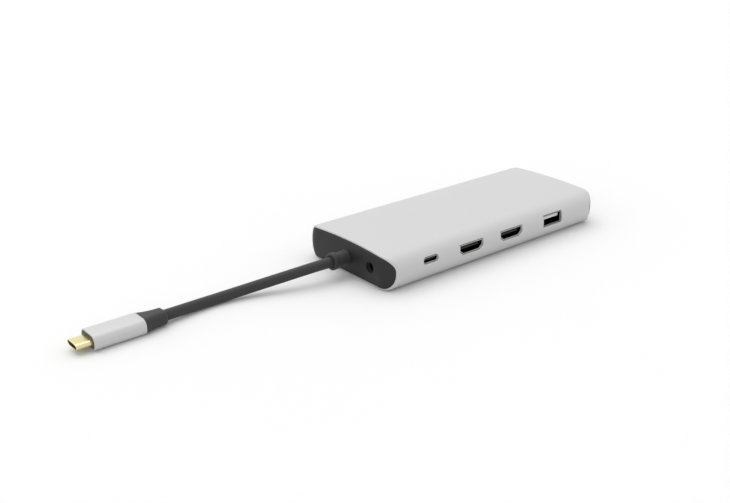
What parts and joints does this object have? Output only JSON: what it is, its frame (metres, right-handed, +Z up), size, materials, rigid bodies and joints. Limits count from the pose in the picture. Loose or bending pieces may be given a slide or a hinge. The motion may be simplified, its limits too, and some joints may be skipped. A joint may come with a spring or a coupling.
{
  "type": "laptop docking station",
  "caption": "Slim docking hub: an extruded aluminium sleeve with dark end caps, ports along both long sides and a short fixed lead to a flat plug.",
  "frame": {"origin": "middle of the flat underside of the housing", "axes": "+X along the housing away from the lead, the front row of ports faces -Y, +Z up"},
  "size_m": [0.2671, 0.0604, 0.0173],
  "materials": {
    "anodised_aluminium": "bead-blasted and anodised",
    "moulded_charcoal_plastic": "moulded, fine texture",
    "chassis_plastic": "moulded",
    "board_laminate": "green solder mask",
    "zinc_plated_steel": "zinc plated",
    "chip_epoxy": "moulded epoxy",
    "ferrite": "pressed ferrite",
    "tinned_can": "plain can",
    "thermal_pad_silicone": "soft silicone",
    "bare_aluminium": "mill finish sheet",
    "nickel_plated_steel": "bright nickel plate",
    "contact_insulator": "black liquid-crystal polymer",
    "usb_insulator": "moulded tongue",
    "lead_elastomer": "satin thermoplastic elastomer",
    "core_bundle": "insulated copper cores",
    "moulded_grey_plastic": "moulded",
    "gold_plated_steel": "thin gold plate"
  },
  "bodies": {
    "root": {"housing_sleeve": "anodised_aluminium", "cable_end_cap": "moulded_charcoal_plastic", "far_end_cap": "moulded_charcoal_plastic", "board_carrier": "chassis_plastic", "main_board": "board_laminate", "board_screw_1": "zinc_plated_steel", "board_screw_2": "zinc_plated_steel", "board_screw_3": "zinc_plated_steel", "board_screw_4": "zinc_plated_steel", "hub_controller": "chip_epoxy", "display_controller": "chip_epoxy", "ethernet_controller": "chip_epoxy", "power_controller": "chip_epoxy", "power_inductor": "ferrite", "clock_crystal": "tinned_can", "bulk_capacitor": "tinned_can", "thermal_pad": "thermal_pad_silicone", "heat_spreader": "bare_aluminium", "usb_c_shell": "nickel_plated_steel", "usb_c_tongue": "contact_insulator", "usb_c_riser": "board_laminate", "hdmi_1_shell": "nickel_plated_steel", "hdmi_1_tongue": "contact_insulator", "hdmi_2_shell": "nickel_plated_steel", "hdmi_2_tongue": "contact_insulator", "usb_a_front_shell": "nickel_plated_steel", "usb_a_front_tongue": "usb_insulator", "usb_a_back_1_shell": "nickel_plated_steel", "usb_a_back_1_tongue": "usb_insulator", "usb_a_back_2_shell": "nickel_plated_steel", "usb_a_back_2_tongue": "usb_insulator", "ethernet_shield": "nickel_plated_steel", "ethernet_insert": "contact_insulator", "card_reader_cover": "nickel_plated_steel", "card_reader_base": "contact_insulator", "audio_jack_body": "contact_insulator", "audio_jack_ring": "nickel_plated_steel", "strain_relief": "lead_elastomer", "cable_anchor": "chassis_plastic", "cable_cores": "core_bundle", "cable": "lead_elastomer", "plug_sleeve": "anodised_aluminium", "plug_face_insert": "moulded_grey_plastic", "plug_shell": "gold_plated_steel", "plug_core": "contact_insulator", "plug_board": "board_laminate", "plug_inner_mould": "moulded_grey_plastic", "plug_boot": "lead_elastomer"}
  },
  "joints": []
}
